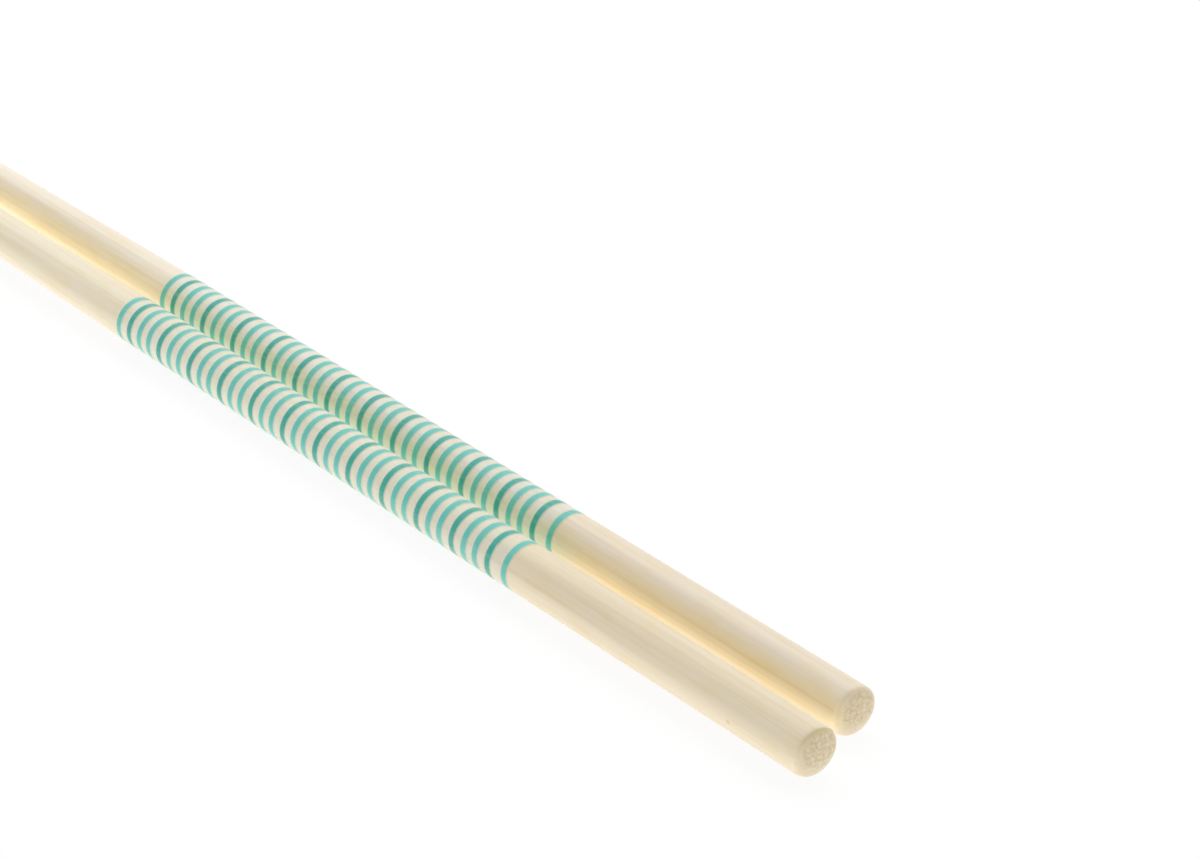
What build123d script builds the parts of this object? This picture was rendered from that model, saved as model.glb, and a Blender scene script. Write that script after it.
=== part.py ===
"""A pair of round bamboo chopsticks with lacquered rings, lying side by side.

Millimetres, +Z up. The sticks lie along X on the plane Z = 0, butts at +X and tips at -X. The origin
is the bottom centre of the pair's box.
"""
import os
from math import cos, radians, sin

from build123d import *

# Bamboo stick, turned from one splint
stick_length = 240.0
handle_diameter = 6.0  # from the butt to the last ring
tip_diameter = 4.2
butt_dome_rise = 0.55
butt_edge_radius = 1.0
tip_dome_rise = 1.2

# Rings: groups of three printed lines, a dark one between two pale ones. Only the dark ones are solids
near_butt_to_rings = 49.3  # from the butt to the first line, on the near stick
far_butt_to_rings = 48.4  # the same on the far stick, which was cut a little shorter there
first_line_to_dark = 3.02  # from the first line to the first dark line
group_count = 12
group_pitch = 6.64  # from one dark line to the next
last_dark_to_end = 2.32  # from the last dark line to the last line
line_width = 0.9
line_height = 0.06  # lacquer stands a little proud, with thin edges

# How the two sticks lie beside each other
axis_spacing = 8.69  # between the two axes, at the far butt
far_butt_setback = 3.6  # the far butt lies this much nearer the tips
far_stick_turn = 0.22  # degrees about the vertical, closing towards the tips

# The taper starts where the rings end, and the sticks rest on the ridges of the rings
handle_radius = handle_diameter / 2
ring_zone_length = first_line_to_dark + (group_count - 1) * group_pitch + last_dark_to_end + line_width / 2
axis_height = handle_radius + line_height


def stick_plane(butt_x, butt_y, turn):
    """Plane of one stick: origin at its butt, local X along its axis to the tip, local Y up."""
    to_tip = Vector(-cos(radians(turn)), -sin(radians(turn)), 0)
    sideways = to_tip.cross(Vector(0, 0, 1))
    return Plane(origin=(butt_x, butt_y, axis_height), x_dir=to_tip, z_dir=sideways)


def make_stick(plane, butt_to_rings):
    """One turned stick: domed butt with a rounded edge, straight handle, long taper, domed tip."""
    butt_rim = (butt_dome_rise, handle_radius)
    taper_start = (butt_to_rings + ring_zone_length, handle_radius)
    tip_rim = (stick_length - tip_dome_rise, tip_diameter / 2)
    with BuildPart() as stick:
        with BuildSketch(plane) as half_section:
            with BuildLine():
                butt_dome = TangentArc((0, 0), butt_rim, tangent=(0, 1))
                Polyline(butt_rim, taper_start, tip_rim)
                tip_dome = TangentArc((stick_length, 0), tip_rim, tangent=(0, 1))
                Line(tip_dome @ 0, butt_dome @ 0)
            make_face()
            butt_corner = half_section.vertices().sort_by_distance(butt_rim)[0]
            fillet(butt_corner, radius=butt_edge_radius)
        revolve(axis=Axis(plane.origin, plane.x_dir))
    return stick.part


def make_dark_rings(plane, butt_to_rings):
    """The dark lines of lacquer, each a low ring seated on the handle, with its ridge in the middle."""
    with BuildPart() as rings:
        with BuildSketch(plane):
            for group in range(group_count):
                middle = butt_to_rings + first_line_to_dark + group * group_pitch
                with BuildLine():
                    Polyline(
                        (middle - line_width / 2, handle_radius),
                        (middle + line_width / 2, handle_radius),
                        (middle, handle_radius + line_height),
                        close=True,
                    )
                make_face()
        revolve(axis=Axis(plane.origin, plane.x_dir))
    return rings.part


near_butt_x = (stick_length + far_butt_setback) / 2
sticks = {
    "near": (near_butt_to_rings, stick_plane(near_butt_x, -axis_spacing / 2, 0)),
    "far": (far_butt_to_rings, stick_plane(near_butt_x - far_butt_setback, axis_spacing / 2, far_stick_turn)),
}

os.makedirs("parts", exist_ok=True)
for side, (butt_to_rings, plane) in sticks.items():
    pieces = {
        f"{side}_chopstick": make_stick(plane, butt_to_rings),
        f"{side}_dark_rings": make_dark_rings(plane, butt_to_rings),
    }
    for label, piece in pieces.items():
        piece.label = label
        export_step(piece, f"parts/{label}.step")
        print(label, len(piece.solids()), "solids,", round(piece.volume, 2), "mm3")
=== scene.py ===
# %% [markdown]
# A pair of round bamboo chopsticks, dressed for a picture.
#
# Each stick is turned from one splint of bamboo: a straight handle with a softly domed butt, then a
# long taper to a rounded tip. Fine lines of teal lacquer are printed round the handle in groups of
# three. The solids of the pair already exist at their real size, so this lesson starts by loading
# them, and every piece that it makes sits in the same frame, in metres, with +Z up.

# %% Load the pair
from math import cos, pi, radians, sin

import bmesh
import bpy
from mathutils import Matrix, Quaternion, Vector


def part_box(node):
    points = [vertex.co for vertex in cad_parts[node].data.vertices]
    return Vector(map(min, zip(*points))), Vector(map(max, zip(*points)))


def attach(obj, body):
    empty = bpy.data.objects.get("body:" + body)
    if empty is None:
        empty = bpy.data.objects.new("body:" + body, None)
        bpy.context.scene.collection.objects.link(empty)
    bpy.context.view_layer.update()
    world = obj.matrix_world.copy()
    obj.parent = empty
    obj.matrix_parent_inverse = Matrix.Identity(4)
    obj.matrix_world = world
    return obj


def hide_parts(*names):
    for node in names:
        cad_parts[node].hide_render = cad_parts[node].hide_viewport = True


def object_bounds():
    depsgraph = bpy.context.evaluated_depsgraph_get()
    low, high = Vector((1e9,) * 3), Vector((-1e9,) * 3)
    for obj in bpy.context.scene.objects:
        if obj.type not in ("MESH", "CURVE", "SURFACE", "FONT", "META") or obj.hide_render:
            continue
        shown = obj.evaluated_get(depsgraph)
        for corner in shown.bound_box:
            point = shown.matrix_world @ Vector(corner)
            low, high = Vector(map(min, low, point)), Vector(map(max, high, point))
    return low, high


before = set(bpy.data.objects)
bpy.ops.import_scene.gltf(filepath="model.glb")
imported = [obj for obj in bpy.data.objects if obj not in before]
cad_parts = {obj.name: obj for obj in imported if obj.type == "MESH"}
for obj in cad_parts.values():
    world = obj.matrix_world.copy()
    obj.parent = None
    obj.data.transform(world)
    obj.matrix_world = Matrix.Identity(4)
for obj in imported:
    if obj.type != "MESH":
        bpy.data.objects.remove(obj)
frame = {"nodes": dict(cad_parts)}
cad_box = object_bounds()
MM = 0.001
print("solids loaded:", ", ".join(frame["nodes"]))
print("box of the pair in mm:", [round(side / MM, 1) for side in cad_box[1] - cad_box[0]])

# %% [markdown]
# The camera comes first, because it decides which details can be seen at all.
#
# The picture looks along the pair from the butts, so the butts are large and the tips run out of the
# frame. Such a view can be found by trial, but a few numbers say it more plainly: the point on the
# table that the lens looks at, the side and the height that it looks from, a slight roll and the
# distance. It is a long lens almost half a metre away, because a short one close by would make the
# butts look swollen.

# %% Place the camera
aim_point = Vector((46.5, 27.6, 0)) * MM
camera_azimuth = radians(50.24)
camera_elevation = radians(27.04)
camera_roll = radians(1.73)
camera_distance = 475.1 * MM
lens_mm = 117.8
nearest_in_view = 10 * MM

towards_camera = Vector(
    (
        sin(camera_azimuth) * cos(camera_elevation),
        -cos(camera_azimuth) * cos(camera_elevation),
        sin(camera_elevation),
    )
)
camera = bpy.data.objects.new("camera", bpy.data.cameras.new("camera"))
camera.data.lens = lens_mm
camera.data.clip_start = nearest_in_view
camera.location = aim_point + towards_camera * camera_distance
camera.rotation_mode = "QUATERNION"
level_view = (-towards_camera).to_track_quat("-Z", "Y")
camera.rotation_quaternion = level_view @ Quaternion((0, 0, 1), camera_roll)
bpy.context.collection.objects.link(camera)
bpy.context.scene.camera = camera
print("camera at mm:", [round(value / MM) for value in camera.location])

# %% [markdown]
# Both sticks follow the same rules, so a few sizes describe the whole pair.
#
# The length, the radius and the place of each stick are read from its solid. What the solid's box
# can't tell, such as where the lines start, is written here once. Distances along a stick are always
# measured from its butt, the thick end: first comes the rounding, then the bare handle, the lines and
# the taper.

# %% Sizes of the sticks
tip_radius = 2.1 * MM
butt_rounding = 1.24 * MM
tip_rounding = 1.2 * MM
butt_to_lines = {"near": 49.3 * MM, "far": 48.4 * MM}
lined_length = 78.8 * MM
taper_start = {side: start + lined_length for side, start in butt_to_lines.items()}
stick_turn = {"near": 0.0, "far": radians(0.22)}

near_low, near_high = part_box("near_chopstick")
far_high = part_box("far_chopstick")[1]
handle_radius = (near_high.z - near_low.z) / 2
stick_length = near_high.x - near_low.x
axis_height = (near_high.z + near_low.z) / 2
butt_place = {
    "near": Vector((near_high.x, near_high.y - handle_radius, axis_height)),
    "far": Vector((far_high.x, far_high.y - handle_radius, axis_height)),
}
print("stick length", round(stick_length / MM, 1), "mm, handle radius", round(handle_radius / MM, 2), "mm")

# %% [markdown]
# Geometry Nodes can hold a shape as a rule instead of as a list of points, and a material is a tree of
# nodes too.
#
# Written out in full, each node takes several lines, and the idea gets lost among them. These helpers
# keep both kinds of tree short. The first two fill a node's sockets and add a node, and the others
# write one step of arithmetic, take a vector apart or put it together, find a point on a circle, and
# make a noise swing about zero. A socket takes a plain value or the output of another node.

# %% Helpers for node trees
def fill_sockets(tree, node, inputs):
    """Fills a node's sockets, each with a value or with a link from another node."""
    for key, value in inputs.items():
        if isinstance(value, bpy.types.NodeSocket):
            tree.links.new(value, node.inputs[key])
        else:
            node.inputs[key].default_value = value


def add_node(tree, kind, inputs=None, **settings):
    """Adds a node, sets its options and fills its sockets."""
    node = tree.nodes.new(kind)
    for key, value in settings.items():
        setattr(node, key, value)
    fill_sockets(tree, node, inputs or {})
    return node


def calculate(tree, operation, *values, clamp=False):
    """One step of arithmetic on numbers or sockets."""
    step = add_node(tree, "ShaderNodeMath", dict(enumerate(values)), operation=operation, use_clamp=clamp)
    return step.outputs[0]


def split(tree, vector):
    """The X, Y and Z of a vector."""
    return add_node(tree, "ShaderNodeSeparateXYZ", {"Vector": vector}).outputs


def join(tree, x=0.0, y=0.0, z=0.0):
    """A vector from its X, Y and Z."""
    return add_node(tree, "ShaderNodeCombineXYZ", {"X": x, "Y": y, "Z": z}).outputs[0]


def on_circle(tree, angle, radius):
    """The two coordinates of a point at this angle on a circle."""
    waves = [calculate(tree, wave, angle) for wave in ("COSINE", "SINE")]
    return [calculate(tree, "MULTIPLY", wave, radius) for wave in waves]


def swing(tree, noise, reach):
    """Makes a noise from 0 to 1 swing to both sides of 0, as far as its reach."""
    return calculate(tree, "MULTIPLY", calculate(tree, "SUBTRACT", noise, 0.5), 2 * reach)


print("helpers for nodes ready")

# %% [markdown]
# A tree of Geometry Nodes needs a start, an end, and something to run it.
#
# The start names the inputs, so that one tree can make the near stick and the far one. The end turns
# copies into real faces, smooths the shading and sets the material. To run a tree, an empty object
# gets it as a modifier, the result is kept as a plain mesh, and the modifier goes away again. A sheet
# that is rolled up can end with its faces inside out, so all faces are made to point outwards.

# %% Start, end and run a tree
def new_tree(name, **inputs):
    """An empty tree with one named input for each default value, and one geometry output."""
    tree = bpy.data.node_groups.new(name, "GeometryNodeTree")
    tree.interface.new_socket("Geometry", in_out="OUTPUT", socket_type="NodeSocketGeometry")
    kinds = {float: "NodeSocketFloat", int: "NodeSocketInt", Vector: "NodeSocketVector"}
    for label, default in inputs.items():
        socket = tree.interface.new_socket(label, in_out="INPUT", socket_type=kinds[type(default)])
        socket.default_value = default
    tree.interface.new_socket("material", in_out="INPUT", socket_type="NodeSocketMaterial")
    return tree, tree.nodes.new("NodeGroupInput").outputs


def close_tree(tree, geometry, material):
    """Ends a tree: real faces instead of instances, smooth shading and the material."""
    real = add_node(tree, "GeometryNodeRealizeInstances", {"Geometry": geometry})
    smooth = add_node(tree, "GeometryNodeSetShadeSmooth", {"Geometry": real.outputs[0]})
    finish = add_node(
        tree, "GeometryNodeSetMaterial", {"Geometry": smooth.outputs[0], "Material": material}
    )
    add_node(tree, "NodeGroupOutput", {"Geometry": finish.outputs[0]})


def run_tree(tree, name, **values):
    """Runs a tree with these values and returns a new object with the plain mesh that it makes."""
    piece = bpy.data.objects.new(name, bpy.data.meshes.new(name + "_start"))
    bpy.context.collection.objects.link(piece)
    modifier = piece.modifiers.new("rule", "NODES")
    modifier.node_group = tree
    for socket in tree.interface.items_tree:
        if socket.in_out == "INPUT" and socket.name in values:
            modifier[socket.identifier] = values[socket.name]
    evaluated = piece.evaluated_get(bpy.context.evaluated_depsgraph_get())
    mesh = bpy.data.meshes.new_from_object(evaluated)
    piece.modifiers.clear()
    piece.data = mesh
    shape = bmesh.new()
    shape.from_mesh(mesh)
    bmesh.ops.recalc_face_normals(shape, faces=shape.faces)
    shape.to_mesh(mesh)
    shape.free()
    return piece


print("helpers for trees ready")

# %% [markdown]
# The radius of a stick is a rule of the distance from the butt and of the angle round the axis.
#
# A lathe gives a clean profile: constant along the handle, then a straight taper. Both ends are
# rounded over by sanding. One formula covers both: close to an end the radius is multiplied by
# (1 - t^p)^(1/p), where t runs from 1 at the very end to 0 where the rounding starts. With p = 2 that
# is an ellipse, as at the tip, and a larger p gives the flatter face and rounded rim of the butt. The
# sanding isn't even all the way round, so the butt's rounding is short on one side of the rim and long
# on the other, and very low hollows keep the rest from being machine perfect. The rule is a node group
# of its own, because the lines of lacquer have to follow the same surface.

# %% The radius rule
butt_fullness = 2.6
tip_fullness = 2.0
rim_unevenness = 0.25
sharp_rim_angle = radians(55)
hollow_depth = 0.015 * MM
hollows_along = 0.07 / MM
hollows_around = 0.3 / MM
hollow_detail = 1.0


def end_rounding(rule, distance, length, fullness):
    """How much of the radius is left at this distance from an end."""
    from_rounding = calculate(rule, "SUBTRACT", length, distance)
    share = calculate(rule, "DIVIDE", from_rounding, length, clamp=True)
    powered = calculate(rule, "POWER", share, fullness)
    left = calculate(rule, "SUBTRACT", 1.0, powered)
    return calculate(rule, "POWER", left, 1 / fullness)


def butt_rounding_at(rule, angle):
    """The length of the butt's rounding, which is shortest where the rim is sharp."""
    from_sharp = calculate(rule, "SUBTRACT", angle, sharp_rim_angle)
    turned = calculate(rule, "COSINE", from_sharp)
    difference = calculate(rule, "MULTIPLY", turned, -rim_unevenness * butt_rounding)
    return calculate(rule, "ADD", difference, butt_rounding)


def hollows(rule, distance, angle):
    """How far the surface lies above or below a perfectly turned one."""
    along = calculate(rule, "MULTIPLY", distance, hollows_along)
    place = join(rule, along, *on_circle(rule, angle, handle_radius * hollows_around))
    noise = add_node(rule, "ShaderNodeTexNoise", {"Vector": place, "Scale": 1.0, "Detail": hollow_detail})
    return swing(rule, noise.outputs[0], hollow_depth)


def make_radius_rule():
    """A node group that gives the radius at a distance from the butt and an angle round the axis."""
    rule = bpy.data.node_groups.new("stick radius", "GeometryNodeTree")
    for label in ("distance", "angle", "taper_start"):
        rule.interface.new_socket(label, in_out="INPUT", socket_type="NodeSocketFloat")
    rule.interface.new_socket("radius", in_out="OUTPUT", socket_type="NodeSocketFloat")
    given = rule.nodes.new("NodeGroupInput").outputs
    distance = given["distance"]
    angle = given["angle"]

    taper = add_node(rule, "ShaderNodeMapRange", {
        "Value": distance,
        "From Min": given["taper_start"],
        "From Max": stick_length,
        "To Min": handle_radius,
        "To Max": tip_radius,
    })
    turned = calculate(rule, "ADD", taper.outputs[0], hollows(rule, distance, angle))
    to_tip = calculate(rule, "SUBTRACT", stick_length, distance)
    butt_share = end_rounding(rule, distance, butt_rounding_at(rule, angle), butt_fullness)
    tip_share = end_rounding(rule, to_tip, tip_rounding, tip_fullness)
    both_ends = calculate(rule, "MULTIPLY", butt_share, tip_share)
    add_node(rule, "NodeGroupOutput", {"radius": calculate(rule, "MULTIPLY", turned, both_ends)})
    return rule


radius_rule = make_radius_rule()
print("radius rule has", len(radius_rule.nodes), "nodes")

# %% [markdown]
# Both the stick and the lines on it start as a flat sheet of squares.
#
# A Grid node gives the sheet. One side of it becomes the angle round the axis, and the radius rule
# says how far out each point lies. A cylinder could be pushed into shape instead, but a sheet leaves
# it open what its other side means. Seams and poles are merged, so that each piece is a closed skin.
# All is rolled up with the butt of the stick at the origin, and then turned and moved to where the
# stick lies.

# %% Roll up a sheet
around_count = 96
seam_gap = 0.0005 * MM


def unit_sheet(tree, rows, columns):
    """A flat sheet of size 1, and its two sides as numbers from 0 to 1."""
    size = {"Size X": 1.0, "Size Y": 1.0, "Vertices X": rows, "Vertices Y": columns}
    sheet = add_node(tree, "GeometryNodeMeshGrid", size)
    place = split(tree, add_node(tree, "GeometryNodeInputPosition").outputs[0])
    u, v = [calculate(tree, "ADD", place[axis], 0.5) for axis in ("X", "Y")]
    return sheet.outputs["Mesh"], u, v


def stick_radius(tree, distance, angle, given):
    """The radius at this place, by the radius rule."""
    values = {"distance": distance, "angle": angle, "taper_start": given["taper_start"]}
    return add_node(tree, "GeometryNodeGroup", values, node_tree=radius_rule).outputs["radius"]


def around_axis(tree, distance, angle, radius, drift=0.0):
    """A position on a stick that lies along X, with its butt at the origin."""
    along = calculate(tree, "ADD", calculate(tree, "MULTIPLY", distance, -1.0), drift)
    return join(tree, along, *on_circle(tree, angle, radius))


def roll_up(tree, sheet, position):
    """Moves the points of a sheet to their positions and closes its seams and poles."""
    rolled = add_node(tree, "GeometryNodeSetPosition", {"Geometry": sheet, "Position": position})
    closed = add_node(
        tree, "GeometryNodeMergeByDistance", {"Geometry": rolled.outputs[0], "Distance": seam_gap}
    )
    return closed.outputs[0]


def lay_down(tree, geometry, given):
    """Turns and moves a stick or its lines from the origin to where they lie."""
    rotation = join(tree, z=given["turn"])
    place = {"Geometry": geometry, "Translation": given["butt"], "Rotation": rotation}
    return add_node(tree, "GeometryNodeTransform", place).outputs[0]


print("a sheet is rolled up with", around_count, "squares round the axis")

# %% [markdown]
# The stick is one such sheet, and its other side is the distance from the butt.
#
# Evenly spaced rows would be too few at the rounded ends and too many along the straight handle. The
# formula u - sin(2 pi u) / 2 pi crowds the rows towards both ends and leaves them wide between.

# %% Stick tree
stick_rows = 241


def make_stick_tree():
    """A tree that rolls a sheet into one turned stick."""
    tree, given = new_tree(
        "turned stick",
        taper_start=taper_start["near"],
        turn=0.0,
        butt=Vector(),
        rows=stick_rows,
        columns=around_count + 1,
    )
    sheet, u, v = unit_sheet(tree, given["rows"], given["columns"])
    wave = calculate(tree, "SINE", calculate(tree, "MULTIPLY", u, 2 * pi))
    crowded = calculate(tree, "SUBTRACT", u, calculate(tree, "DIVIDE", wave, 2 * pi))
    distance = calculate(tree, "MULTIPLY", crowded, stick_length)
    angle = calculate(tree, "MULTIPLY", v, 2 * pi)
    radius = stick_radius(tree, distance, angle, given)
    closed = roll_up(tree, sheet, around_axis(tree, distance, angle, radius))
    close_tree(tree, lay_down(tree, closed, given), given["material"])
    return tree


stick_tree = make_stick_tree()
print("stick tree has", len(stick_tree.nodes), "nodes")

# %% [markdown]
# One line of lacquer is a low ring of film, highest in its middle and thinning out to both edges.
#
# Such lines can be printed by rolling the handle along a raised rib. A band of colour in the wood's
# material would show the same from afar, but real film catches the light by itself. The sheet is
# rolled twice here, once across the film's own low section and once round the stick. The underside
# dips into the wood, so that no gap shows. Each point stores its height, for when the ring is seated on
# a stick, and how near it is to an edge, for the finish.

# %% One line of film
film_width = 1.3 * MM
film_height = 0.022 * MM
film_depth = 0.03 * MM
section_points = 13


def store(tree, geometry, name, value, domain="POINT"):
    """Stores a number under a name on each point, or on each copy."""
    stored = add_node(
        tree,
        "GeometryNodeStoreNamedAttribute",
        {"Geometry": geometry, "Name": name, "Value": value},
        data_type="FLOAT",
        domain=domain,
    )
    return stored.outputs[0]


def recall(tree, name):
    """The number that was stored under a name."""
    return add_node(tree, "GeometryNodeInputNamedAttribute", {"Name": name}, data_type="FLOAT").outputs[0]


def film_ring(tree, columns):
    """One closed ring of film round the handle."""
    sheet, u, v = unit_sheet(tree, section_points, columns)
    section_angle = calculate(tree, "MULTIPLY", u, 2 * pi)
    rise = calculate(tree, "SINE", section_angle)
    above = calculate(tree, "MAXIMUM", calculate(tree, "MULTIPLY", rise, film_height), 0.0)
    below = calculate(tree, "MINIMUM", calculate(tree, "MULTIPLY", rise, film_depth), 0.0)
    height = calculate(tree, "ADD", above, below)
    sideways = calculate(tree, "COSINE", section_angle)
    sheet = store(tree, sheet, "film", height)
    sheet = store(tree, sheet, "edge", calculate(tree, "ABSOLUTE", sideways))

    across = calculate(tree, "MULTIPLY", sideways, film_width / 2)
    angle = calculate(tree, "MULTIPLY", v, 2 * pi)
    radius = calculate(tree, "ADD", height, handle_radius)
    return roll_up(tree, sheet, around_axis(tree, across, angle, radius))


print("film is", round(film_width / MM, 2), "mm wide and", round(film_height / MM, 3), "mm high")

# %% [markdown]
# The lines repeat at an even pitch, so they are one ring on many points.
#
# A row of points gives each line its station, and an instance of the ring goes on each of them. The
# number of a point says to which group its line belongs. Copies made by a loop would do as well, but
# here one tree serves both the dark lines, one to a group, and the pale ones, two to a group. When the
# copies are made real, the radius rule puts each vertex back on the stick, and a small noise that
# differs from line to line makes their edges waver as in print.

# %% Line tree
waver = 0.05 * MM
waver_turns = 1.3
waver_along = 1.1 / MM
waver_detail = 2.0


def line_stations(tree, given):
    """A row of points, one for each line, and the number of each point."""
    number = add_node(tree, "GeometryNodeInputIndex").outputs[0]
    group = calculate(tree, "FLOOR", calculate(tree, "DIVIDE", number, given["per_group"]))
    in_group = calculate(tree, "MODULO", number, given["per_group"])
    is_first = calculate(tree, "LESS_THAN", number, 0.5)
    station = calculate(tree, "ADD", given["first"], calculate(tree, "MULTIPLY", group, given["pitch"]))
    station = calculate(tree, "ADD", station, calculate(tree, "MULTIPLY", in_group, given["gap"]))
    shift = calculate(tree, "MULTIPLY", is_first, given["first_shift"])
    station = calculate(tree, "SUBTRACT", station, shift)
    place = join(tree, calculate(tree, "MULTIPLY", station, -1.0))
    row = add_node(tree, "GeometryNodeMeshLine", {"Count": given["count"]})
    spaced = add_node(tree, "GeometryNodeSetPosition", {"Geometry": row.outputs[0], "Position": place})
    return spaced.outputs[0], number


def film_drift(tree, from_butt, angle, seed):
    """How far a line strays along the stick at this place."""
    along = calculate(tree, "MULTIPLY", from_butt, waver_along)
    values = {
        "Vector": join(tree, *on_circle(tree, angle, waver_turns), along),
        "W": calculate(tree, "ADD", recall(tree, "line"), seed),
        "Scale": 1.0,
        "Detail": waver_detail,
    }
    noise = add_node(tree, "ShaderNodeTexNoise", values, noise_dimensions="4D")
    return swing(tree, noise.outputs[0], waver)


def make_line_tree():
    """A tree that prints a row of lines round a stick."""
    tree, given = new_tree(
        "printed lines",
        first=0.0,
        first_shift=0.0,
        count=1,
        per_group=1,
        gap=0.0,
        pitch=0.0,
        seed=0.0,
        taper_start=taper_start["near"],
        turn=0.0,
        butt=Vector(),
        columns=around_count + 1,
    )
    ring = film_ring(tree, given["columns"])
    points, number = line_stations(tree, given)
    copies = add_node(tree, "GeometryNodeInstanceOnPoints", {"Points": points, "Instance": ring})
    numbered = store(tree, copies.outputs[0], "line", number, domain="INSTANCE")
    real = add_node(tree, "GeometryNodeRealizeInstances", {"Geometry": numbered})

    spot = split(tree, add_node(tree, "GeometryNodeInputPosition").outputs[0])
    from_butt = calculate(tree, "MULTIPLY", spot["X"], -1.0)
    angle = calculate(tree, "ARCTAN2", spot["Z"], spot["Y"])
    radius = calculate(tree, "ADD", stick_radius(tree, from_butt, angle, given), recall(tree, "film"))
    drift = film_drift(tree, from_butt, angle, given["seed"])
    position = around_axis(tree, from_butt, angle, radius, drift)
    seated = add_node(tree, "GeometryNodeSetPosition", {"Geometry": real.outputs[0], "Position": position})
    close_tree(tree, lay_down(tree, seated.outputs[0], given), given["material"])
    return tree


line_tree = make_line_tree()
print("line tree has", len(line_tree.nodes), "nodes")

# %% [markdown]
# Materials get a few helpers of their own.
#
# Most patterns here are a noise at some scale, a smooth fade between two of its values, and a mix of
# colours by that share. Patterns are read from the place on the object in millimetres, so that they
# stay on the wood wherever the camera stands, and so that their sizes can be written as real ones.

# %% Helpers for materials
noise_detail = 2.0


def vector_step(tree, operation, *values):
    """One step of arithmetic on vectors, each a value or a socket."""
    step = add_node(tree, "ShaderNodeVectorMath", dict(enumerate(values)), operation=operation)
    gives_number = operation in ("DOT_PRODUCT", "DISTANCE")
    return step.outputs["Value" if gives_number else "Vector"]


def new_material(name):
    """A material, its tree, its shader and the place on the object in millimetres."""
    material = bpy.data.materials.new(name)
    material.use_nodes = True
    tree = material.node_tree
    place = add_node(tree, "ShaderNodeTexCoord").outputs["Object"]
    place_in_mm = vector_step(tree, "MULTIPLY", place, (1 / MM,) * 3)
    return material, tree, tree.nodes["Principled BSDF"], place_in_mm


def long_noise(tree, place, grain, detail=noise_detail):
    """Noise stretched along the stick: the grain is its steps per millimetre along and across."""
    along, across = grain
    stretched = vector_step(tree, "MULTIPLY", place, (along, across, across))
    noise = add_node(tree, "ShaderNodeTexNoise", {"Vector": stretched, "Scale": 1.0, "Detail": detail})
    return noise.outputs[0]


def fade(tree, value, start, end, low=0.0, high=1.0):
    """A smooth change from low to high while value goes from start to end."""
    limits = {"Value": value, "From Min": start, "From Max": end, "To Min": low, "To Max": high}
    return add_node(tree, "ShaderNodeMapRange", limits, interpolation_type="SMOOTHSTEP").outputs[0]


def mix_colour(tree, share, first, second, blend="MIX"):
    """A mix of two colours, each a value or a socket."""
    # A Mix node has sockets for each kind of data, and its colours are numbers 6 and 7
    colours = {0: share, 6: first, 7: second}
    return add_node(tree, "ShaderNodeMix", colours, data_type="RGBA", blend_type=blend).outputs[2]


print("helpers for materials ready")

# %% [markdown]
# Both sticks are of the same sort of bamboo, but no two splints are quite alike.
#
# One material serves both, so that they plainly belong together. Where they differ, it asks on which
# side of the middle a point lies, and takes the number or the direction of that stick. Two materials
# would do as well, but then every change would have to be made twice.

# %% Tell the sticks apart
between_sticks = (-0.5, 0.5)


def is_far_stick(tree, place):
    """1 on the far stick and 0 on the near one."""
    return fade(tree, split(tree, place)["Y"], *between_sticks)


def own_number(tree, far, numbers):
    """The number of the stick that a point lies on."""
    return fade(tree, far, 0.0, 1.0, numbers["near"], numbers["far"])


def own_direction(tree, far, directions):
    """The direction of the stick that a point lies on."""
    # Numbers 4 and 5 are the vectors, because colour sockets can't hold negative numbers
    both = {0: far, 4: directions["near"], 5: directions["far"]}
    return add_node(tree, "ShaderNodeMix", both, data_type="VECTOR").outputs[1]


print("border between the sticks in mm of Y:", between_sticks)

# %% [markdown]
# Bamboo is a bundle of long fibres, and where it is cut along them they show as fine streaks.
#
# A picture of wood could be wrapped round each stick, but it would have a seam. So the wood is a solid
# texture: noise that is stretched along X and runs through the whole stick, broad for the slow change
# of tone, finer for the streaks and finest for single hairs. The wood is more tan towards the butt, and
# faint blotches keep the streaks from looking combed. The limits are the values of a noise between
# which its layer fades in, and a share is how strong the layer gets. Between the lines the wood looks
# faintly mint, as if a trace of lacquer had spread there, so a mild stain covers that stretch.

# %% Wood along the fibres
bamboo_pale = (0.785, 0.715, 0.56, 1)
bamboo_tan = (0.62, 0.51, 0.35, 1)
far_tint = (1.0, 1.0, 1.065, 1)
tan_stretch = (-60.0, 120.0)
tan_at_tip = {"near": 0.16, "far": 0.0}
tan_at_butt = {"near": 0.45, "far": 0.42}
tan_unevenness = 0.10
broad_grain = (0.010, 0.42)
broad_detail = 1.0
broad_limits = (0.30, 0.70)

fibre_brown = (0.56, 0.41, 0.23, 1)
streak_grain = (0.022, 2.2)
streak_limits = (0.40, 0.80)
streak_share = 0.22
hair_grain = (0.11, 9.0)
hair_limits = (0.48, 0.80)
hair_share = 0.20
blotch_tint = (1.0, 0.975, 0.90, 1)
blotch_grain = (0.22, 0.6)
blotch_limits = (0.42, 0.72)

stain_mint = (0.52, 0.70, 0.72, 1)
stain_share = 0.2
stain_start = (73.5, 70.5)
stain_end = (-7.5, -4.5)
far_lines_shift = 2.7


def wood_tone(tree, place, far):
    """Pale bamboo that turns tan towards the butt, and is a little cooler on the far stick."""
    at_tip = own_number(tree, far, tan_at_tip)
    at_butt = own_number(tree, far, tan_at_butt)
    tan_here = fade(tree, split(tree, place)["X"], *tan_stretch, at_tip, at_butt)
    broad = long_noise(tree, place, broad_grain, broad_detail)
    uneven = fade(tree, broad, *broad_limits, -tan_unevenness, tan_unevenness)
    tan_share = calculate(tree, "ADD", tan_here, uneven, clamp=True)
    colour = mix_colour(tree, tan_share, bamboo_pale, bamboo_tan)
    return mix_colour(tree, far, colour, far_tint, blend="MULTIPLY")


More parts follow.
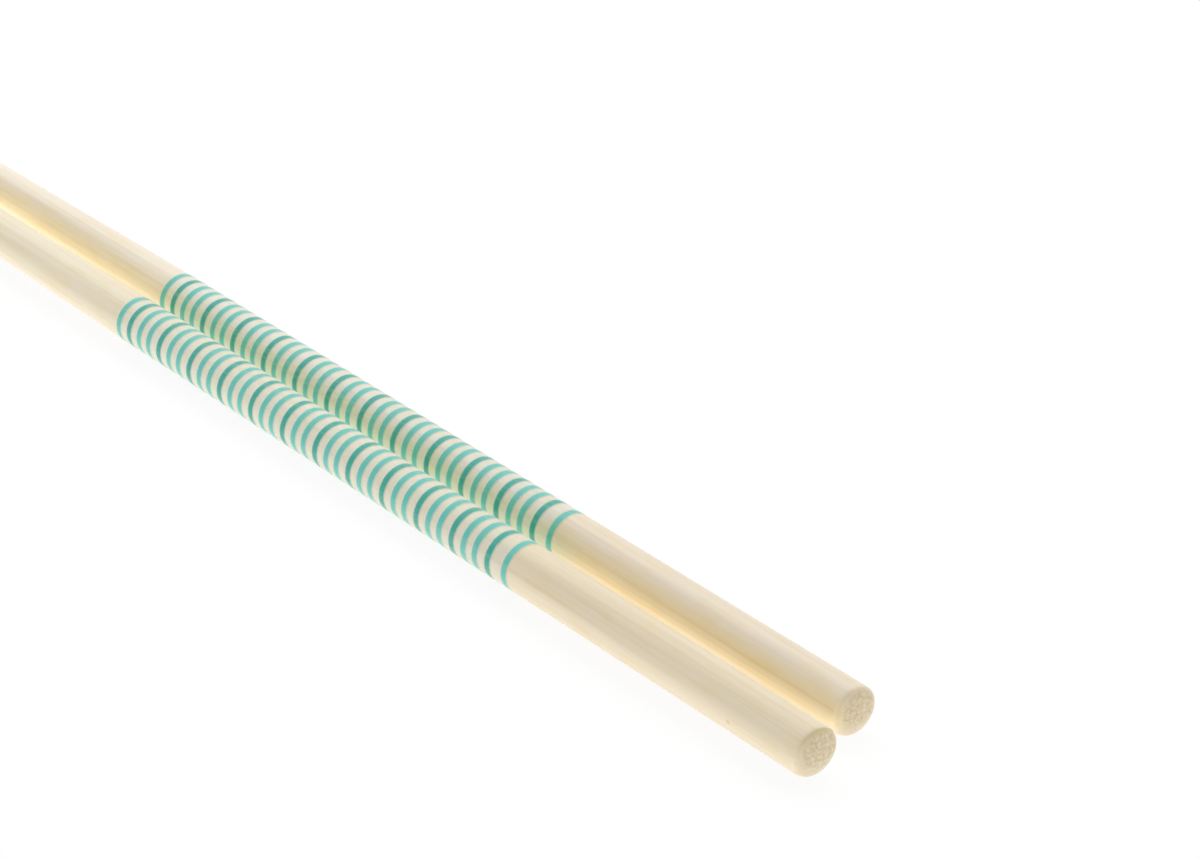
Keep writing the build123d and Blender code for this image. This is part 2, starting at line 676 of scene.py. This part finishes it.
def mint_stain(tree, place, far):
    """Share of the stain, from the first line of a stick to the last one."""
    shift = calculate(tree, "MULTIPLY", far, far_lines_shift)
    along = calculate(tree, "ADD", split(tree, place)["X"], shift)
    lined = calculate(tree, "MULTIPLY", fade(tree, along, *stain_start), fade(tree, along, *stain_end))
    return calculate(tree, "MULTIPLY", lined, stain_share)


def wood_fibres(tree, place):
    """Colour of bamboo along its fibres, and the streaks and finer hairs that it is made of."""
    far = is_far_stick(tree, place)
    streaks = long_noise(tree, place, streak_grain)
    hairs = long_noise(tree, place, hair_grain)
    blotches = long_noise(tree, place, blotch_grain)
    colour = wood_tone(tree, place, far)
    colour = mix_colour(tree, fade(tree, streaks, *streak_limits, 0.0, streak_share), colour, fibre_brown)
    colour = mix_colour(tree, fade(tree, hairs, *hair_limits, 0.0, hair_share), colour, fibre_brown)
    colour = mix_colour(tree, fade(tree, blotches, *blotch_limits), colour, blotch_tint, blend="MULTIPLY")
    colour = mix_colour(tree, mint_stain(tree, place, far), colour, stain_mint)
    return colour, streaks, hairs


print("streaks across the wood in mm:", round(1 / streak_grain[1], 2), "hairs:", round(1 / hair_grain[1], 2))

# %% [markdown]
# The side of the far stick that lies towards the near one looks golden.
#
# Light goes back and forth in the groove between the two and takes on the colour of the wood. The
# renderer follows that light, but in the picture the gold is stronger, so a golden tint on that side
# adds the rest as painted bounce light. Which side a point lies on is read from the direction of the
# surface, seen along the stick.

# %% Painted bounce light on the golden inner side
painted_bounce_wood = (1.20, 1.17, 0.977, 1)
painted_bounce_side = (0.0, -0.99, 0.139)
painted_bounce_least = 0.58
across_stick = (0.0, 1.0, 1.0)


def paint_bounce_where_turned(tree, place, colour, tint):
    """Paints golden bounce light as a tint on the side of the far stick that lies towards the near one."""
    normal = add_node(tree, "ShaderNodeTexCoord").outputs["Normal"]
    sideways = vector_step(tree, "NORMALIZE", vector_step(tree, "MULTIPLY", normal, across_stick))
    turned = fade(tree, vector_step(tree, "DOT_PRODUCT", sideways, painted_bounce_side), painted_bounce_least, 1.0)
    share = calculate(tree, "MULTIPLY", turned, is_far_stick(tree, place))
    return mix_colour(tree, share, colour, tint, blend="MULTIPLY")


print("golden tint of the wood:", painted_bounce_wood[:3])

# %% [markdown]
# At the ends the same fibres are cut across, and there they show as dots.
#
# Each dot is a bundle of fibres, so round cells seen end on give the dots, and a noise breaks them up
# with pale specks. The ground is darker than the wood, because cut fibres swallow light. Where an end
# is can be read from the surface: its direction is near that of the cut. The saw probably didn't go
# quite square, so the dotted face leans a little, differently on each stick. Its rim takes half of the
# darker ground as painted shade, which keeps the rounding from catching too much light. The lower half
# of each end is painted paler, as painted light from the table below. On the near stick the dense
# outer layer of the bamboo shows as an olive crescent along the top of the rim.

# %% Cut ends
end_ground = (0.535, 0.448, 0.29, 1)
cut_direction = {"near": (0.9962, 0.0790, 0.0368), "far": (0.9877, 0.1511, 0.0405)}
tip_direction = (-1.0, 0.0, 0.0)
painted_shade_rim_limits = (0.30, 0.85)
painted_shade_rim_share = 0.5
face_limits = (0.82, 0.98)

bundle_brown = (0.43, 0.31, 0.165, 1)
bundles_per_mm = 1.75
bundle_scatter = 0.9
bundle_limits = (0.55, 0.10)
bundle_share = 0.5
speck_and_painted_light_pale = (0.67, 0.595, 0.45, 1)
speck_grain = (2.6, 2.6)
speck_limits = (0.42, 0.68)
speck_share = 0.5
painted_light_below = (2.9, 0.8)
painted_light_share = 0.55

skin_olive = (0.49, 0.41, 0.18, 1)
skin_direction = (0.0, 0.0, 1.0)
skin_share = {"near": 0.7, "far": 0.0}
skin_limits = (0.1887, 0.6792)
skin_end_limits = (0.50, 0.85)


def normal_along(tree, direction):
    """The cosine between the surface's own direction and another."""
    normal = add_node(tree, "ShaderNodeTexCoord").outputs["Normal"]
    return vector_step(tree, "DOT_PRODUCT", normal, direction)


def end_masks(tree, place):
    """Where the dotted face of an end is, and the wider rim round it, which is darkened as painted shade."""
    at_butt = normal_along(tree, own_direction(tree, is_far_stick(tree, place), cut_direction))
    facing = calculate(tree, "MAXIMUM", at_butt, normal_along(tree, tip_direction))
    return fade(tree, facing, *face_limits), fade(tree, facing, *painted_shade_rim_limits, 0.0, painted_shade_rim_share)


def cut_fibres(tree, place):
    """Colour of the fibres where they are cut across, with painted light making the lower half paler."""
    spot = split(tree, place)
    values = {
        "Vector": join(tree, spot["Y"], spot["Z"]),
        "Scale": bundles_per_mm,
        "Randomness": bundle_scatter,
    }
    cells = add_node(tree, "ShaderNodeTexVoronoi", values, voronoi_dimensions="2D")
    bundle = fade(tree, cells.outputs["Distance"], *bundle_limits, 0.0, bundle_share)
    specks = fade(tree, long_noise(tree, place, speck_grain), *speck_limits, 0.0, speck_share)
    # Painted light: the lower half of each end is made paler, as if lit by the table below.
    low = fade(tree, spot["Z"], *painted_light_below, 0.0, painted_light_share)
    colour = mix_colour(tree, bundle, end_ground, bundle_brown)
    colour = mix_colour(tree, specks, colour, speck_and_painted_light_pale)
    return mix_colour(tree, low, colour, speck_and_painted_light_pale)


def skin_crescent(tree, place):
    """Share of the dense outer layer along the top of the near stick's butt."""
    share = own_number(tree, is_far_stick(tree, place), skin_share)
    crescent = fade(tree, normal_along(tree, skin_direction), *skin_limits, 0.0, share)
    at_end = fade(tree, normal_along(tree, cut_direction["near"]), *skin_end_limits)
    return calculate(tree, "MULTIPLY", crescent, at_end)


print("bundles across the handle:", round(2 * handle_radius / MM * bundles_per_mm, 1))

# %% [markdown]
# Now the layers go over each other: the wood, its painted golden bounce light, the cut ends and a fleck.
#
# Sanded bamboo has a low gloss. The fibres vary it a little and stand out as a fine relief, and a thin
# sheen whitens the edges, as the fuzz of sanded fibres does. An even gloss without relief would look
# like plastic. The finish is a helper of its own, because the lacquer takes on the same relief.

# %% Bamboo of the sticks
gloss_limits = (0.3, 0.7)
soft_specular = 0.3
sheen_roughness = 0.3
hair_relief = 0.6
relief_depth = 0.03 * MM
relief_strength = 0.25
wood_roughness = (0.50, 0.62)
wood_sheen = 0.45
fleck_brown = (0.42, 0.24, 0.14, 1)
fleck_place = (110.8, -7.29, 2.75)
fleck_radius = 0.4
fleck_share = 0.42


def finish_surface(tree, shader, colour, streaks, hairs, roughness, sheen):
    """Gives a shader its colour, a low gloss that follows the streaks, a fine relief and a sheen."""
    height = calculate(tree, "ADD", streaks, calculate(tree, "MULTIPLY", hairs, hair_relief))
    relief = {"Height": height, "Distance": relief_depth, "Strength": relief_strength}
    fill_sockets(tree, shader, {
        "Base Color": colour,
        "Roughness": fade(tree, streaks, *gloss_limits, *roughness),
        "Normal": add_node(tree, "ShaderNodeBump", relief).outputs[0],
        "Specular IOR Level": soft_specular,
        "Sheen Weight": sheen,
        "Sheen Roughness": sheen_roughness,
    })


def make_bamboo():
    """Bare sanded bamboo: long streaks, fine fibres, and dots where the fibres are cut across."""
    material, tree, shader, place = new_material("bamboo")
    colour, streaks, hairs = wood_fibres(tree, place)
    # Painted bounce light: a golden tint on the far stick's inner side.
    colour = paint_bounce_where_turned(tree, place, colour, painted_bounce_wood)
    face, rim = end_masks(tree, place)
    # Painted shade: the rim round each end takes half of the darker end ground.
    colour = mix_colour(tree, rim, colour, end_ground)
    colour = mix_colour(tree, face, colour, cut_fibres(tree, place))
    colour = mix_colour(tree, skin_crescent(tree, place), colour, skin_olive)
    from_fleck = vector_step(tree, "DISTANCE", place, fleck_place)
    fleck = fade(tree, from_fleck, fleck_radius, 0.0, 0.0, fleck_share)
    colour = mix_colour(tree, fleck, colour, fleck_brown)
    finish_surface(tree, shader, colour, streaks, hairs, wood_roughness, wood_sheen)
    return material


bamboo = make_bamboo()
print("bamboo has", len(bamboo.node_tree.nodes), "nodes")

# %% [markdown]
# The lacquer is thin, so the wood works through it: fibres show as faint streaks across each line.
#
# Two mixes of the same teal are used, a strong one for the middle line of each group and a paler one
# for its neighbours. They are one recipe with two colours. The pigment thins out towards the edges of
# a line, where the film ends in the bare wood, so the recipe starts from the colour of the wood.

# %% Lacquer
teal = {"dark": (0.029, 0.337, 0.271, 1), "pale": (0.103, 0.473, 0.41, 1)}
painted_bounce_lacquer = (1.20, 1.17, 1.04, 1)
full_until = 0.45
bleed_grain = (0.5, 5.0)
bleed_reach = 0.125
thin_limits = (0.45, 0.80)
thin_share = 0.15
lacquer_roughness = (0.46, 0.56)
lacquer_sheen = 0.9


def make_lacquer(tone):
    """Thin printed lacquer, which fades into the wood at its edges."""
    material, tree, shader, place = new_material(f"{tone}_lacquer")
    wood, streaks, hairs = wood_fibres(tree, place)
    # Painted bounce light: a golden tint on the far stick's inner side, on the wood and on the film.
    wood = paint_bounce_where_turned(tree, place, wood, painted_bounce_wood)
    film = paint_bounce_where_turned(tree, place, teal[tone], painted_bounce_lacquer)
    edge = add_node(tree, "ShaderNodeAttribute", attribute_name="edge").outputs["Fac"]
    bleed = swing(tree, long_noise(tree, place, bleed_grain), bleed_reach)
    pigment = fade(tree, calculate(tree, "ADD", edge, bleed), 1.0, full_until)
    cover = fade(tree, streaks, *thin_limits, 1.0, 1 - thin_share)
    colour = mix_colour(tree, calculate(tree, "MULTIPLY", pigment, cover), wood, film)
    finish_surface(tree, shader, colour, streaks, hairs, lacquer_roughness, lacquer_sheen)
    return material


lacquer = {tone: make_lacquer(tone) for tone in teal}
print("lacquer:", ", ".join(lacquer))

# %% [markdown]
# Now the pieces can be made, in the same way for the near stick and for the far one.
#
# Each group of three lines has its dark line in the middle, and the two pale lines stand at slightly
# different distances from it, as on the real print. The very first pale line, next to the bare handle,
# stands a little further off than the others. A stick and its dark lines take the place of solids,
# and the pale lines are added to them. Nothing moves on a pair of chopsticks, so all pieces belong to
# the one body.

# %% Make the sticks and their lines
first_to_dark = 3.02 * MM
pale_before_dark = 2.23 * MM
pale_after_dark = 2.32 * MM
group_pitch = 6.64 * MM
group_count = 12
pale_per_group = 2
line_seed = {"near": 0.0, "far": 40.0}
pale_seed = 13.3


def stick_inputs(side):
    """The inputs that a stick and its lines have in common."""
    return {"taper_start": taper_start[side], "turn": stick_turn[side], "butt": butt_place[side]}


for side in ("near", "far"):
    stick = run_tree(stick_tree, f"{side}_stick", material=bamboo, **stick_inputs(side))
    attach(stick, "root")
    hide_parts(f"{side}_chopstick")

    first_dark = butt_to_lines[side] + first_to_dark
    dark_lines = run_tree(
        line_tree,
        f"{side}_dark_lines",
        first=first_dark,
        count=group_count,
        pitch=group_pitch,
        seed=line_seed[side],
        material=lacquer["dark"],
        **stick_inputs(side),
    )
    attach(dark_lines, "root")
    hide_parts(f"{side}_dark_rings")

    pale_lines = run_tree(
        line_tree,
        f"{side}_pale_lines",
        first=first_dark - pale_before_dark,
        first_shift=first_to_dark - pale_before_dark,
        count=pale_per_group * group_count,
        per_group=pale_per_group,
        gap=pale_before_dark + pale_after_dark,
        pitch=group_pitch,
        seed=line_seed[side] + pale_seed,
        material=lacquer["pale"],
        **stick_inputs(side),
    )
    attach(pale_lines, "root")
    for piece in (stick, dark_lines, pale_lines):
        print(piece.name, len(piece.data.polygons), "faces")

# %% [markdown]
# The picture is high key: the pair lies on a white table that sends so much light back up that the
# lower sides are as bright as the tops, and only the sides that face the lens are a little darker.
#
# Strong lamps on a white table would do that too, but the tops would turn white with it. So the table
# has a glow of its own. Behind the pair the glow is turned down, because the softbox lights that side
# already and pale wood would turn white there. The lens sees the table as plain white everywhere, and
# a part of the table's own shading is kept, so that the sticks still have their soft shadow.

# %% Table
table_side = 6.0
table_white = (0.9, 0.9, 0.9, 1)
table_glow = 0.81
glow_lost_behind = 0.9
glow_border_y = (-1 * MM, 3 * MM)
glow_border_x = (0 * MM, -20 * MM)
shadow_kept = 0.10
white_level = 0.911


def seen_directly(tree):
    """1 for what the lens sees, straight or in a reflection, and 0 for light that falls on things."""
    path = add_node(tree, "ShaderNodeLightPath").outputs
    total = calculate(tree, "ADD", path["Is Camera Ray"], path["Is Glossy Ray"])
    return calculate(tree, "ADD", total, path["Is Transmission Ray"], clamp=True)


def glow_here(tree, seen):
    """Strength of the table's glow, which is turned down behind the far stick but not past the butts."""
    place = split(tree, add_node(tree, "ShaderNodeTexCoord").outputs["Object"])
    past_axis = [butt_place["far"].y + border for border in glow_border_y]
    before_butts = [cad_box[1].x + border for border in glow_border_x]
    behind = fade(tree, place["Y"], *past_axis)
    beside = fade(tree, place["X"], *before_butts)
    share = calculate(tree, "MULTIPLY", behind, beside)
    turned_down = fade(tree, share, 0.0, 1.0, table_glow, table_glow * (1 - glow_lost_behind))
    return fade(tree, seen, 0.0, 1.0, turned_down, table_glow)


def make_table_white():
    """Matt white with a glow, which the lens sees as plain white with a faint shadow."""
    material = bpy.data.materials.new("table_white")
    material.use_nodes = True
    tree = material.node_tree
    tree.nodes.remove(tree.nodes["Principled BSDF"])
    seen = seen_directly(tree)
    lit = add_node(tree, "ShaderNodeBsdfDiffuse", {"Color": table_white})
    glow = add_node(tree, "ShaderNodeEmission", {"Strength": glow_here(tree, seen)})
    body = add_node(tree, "ShaderNodeAddShader", {0: lit.outputs[0], 1: glow.outputs[0]})
    white = add_node(tree, "ShaderNodeEmission", {"Strength": white_level})
    share = calculate(tree, "MULTIPLY", seen, 1 - shadow_kept)
    shown = add_node(tree, "ShaderNodeMixShader", {0: share, 1: body.outputs[0], 2: white.outputs[0]})
    fill_sockets(tree, tree.nodes["Material Output"], {"Surface": shown.outputs[0]})
    return material


def make_table():
    """A wide flat table top."""
    shape = bmesh.new()
    bmesh.ops.create_grid(shape, x_segments=1, y_segments=1, size=table_side / 2)
    mesh = bpy.data.meshes.new("table")
    shape.to_mesh(mesh)
    shape.free()
    mesh.materials.append(make_table_white())
    table = bpy.data.objects.new("table", mesh)
    bpy.context.collection.objects.link(table)
    return table


make_table()
print("table is", table_side, "m wide")

# %% [markdown]
# The rest of the light is soft: a white world that fills in from all sides, and two large softboxes.
#
# One softbox hangs high above and behind the pair and lights the tops. A weaker one hangs on the side
# of the tips and lights the pair along its length. Small lamps would do for the brightness, but large
# ones give broad light without hard spots, which suits a low gloss. What the lens sees of the world is
# plain white, like the table.

# %% World and softboxes
world_white = (1, 1, 1, 1)
fill_strength = 0.53
softboxes = {
    "softbox_above": {"place": Vector((0.0, 0.45, 0.75)), "size": (1.0, 0.6), "watts": 5.1},
    "softbox_tips": {"place": Vector((-0.6, 0.1, 0.7)), "size": (0.6, 0.8), "watts": 2.4},
}


def make_world():
    """A white world, weaker for the light that falls on things."""
    world = bpy.data.worlds.new("studio")
    world.use_nodes = True
    tree = world.node_tree
    levels = {"Value": seen_directly(tree), "To Min": fill_strength, "To Max": 1.0}
    strength = add_node(tree, "ShaderNodeMapRange", levels).outputs[0]
    fill_sockets(tree, tree.nodes["Background"], {"Color": world_white, "Strength": strength})
    return world


def add_softbox(name, place, size, watts):
    """A soft rectangular lamp that points where the lens does."""
    lamp = bpy.data.objects.new(name, bpy.data.lights.new(name, "AREA"))
    lamp.data.shape = "RECTANGLE"
    lamp.data.size, lamp.data.size_y = size
    lamp.data.energy = watts
    lamp.location = place
    lamp.rotation_mode = "QUATERNION"
    lamp.rotation_quaternion = (aim_point - place).to_track_quat("-Z", "Y")
    bpy.context.collection.objects.link(lamp)
    print(name, watts, "W")


bpy.context.scene.world = make_world()
for name, softbox in softboxes.items():
    add_softbox(name, **softbox)
bpy.context.scene.view_settings.view_transform = "Standard"
